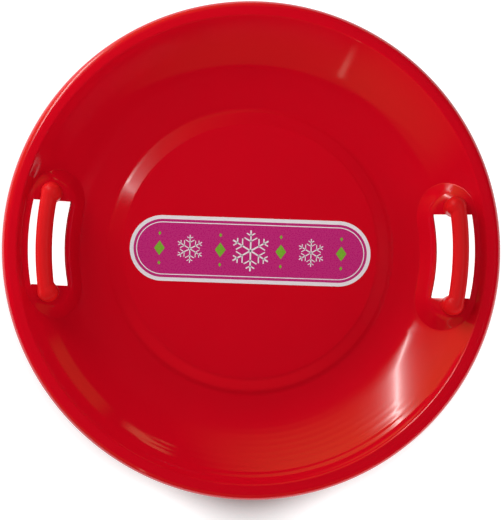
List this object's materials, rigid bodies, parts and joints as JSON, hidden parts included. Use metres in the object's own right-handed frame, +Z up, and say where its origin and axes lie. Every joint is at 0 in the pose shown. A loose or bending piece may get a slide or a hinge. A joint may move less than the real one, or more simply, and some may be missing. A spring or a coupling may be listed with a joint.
{
  "type": "saucer sled",
  "caption": "Round dished snow sled moulded in glossy plastic, with a rolled lip, a raised centre disc and a bent bar grip over a window on each side.",
  "frame": {"origin": "on the dish's axis, in the plane of the ring that the sled rests on", "axes": "+Z up along the dish's axis, +X towards the right grip, +Y away from a viewer who has the right grip on their right"},
  "size_m": [0.6, 0.6, 0.0798],
  "materials": {
    "dish_plastic": "glossy red moulded polyethylene",
    "grip_plastic": "satin red moulded polyethylene",
    "screw_steel": "zinc plated",
    "label_film": "printed film"
  },
  "bodies": {
    "root": {"dish": "dish_plastic", "right_grip": "grip_plastic", "left_grip": "grip_plastic", "grip_screws": "screw_steel", "centre_label": "label_film"}
  },
  "joints": []
}
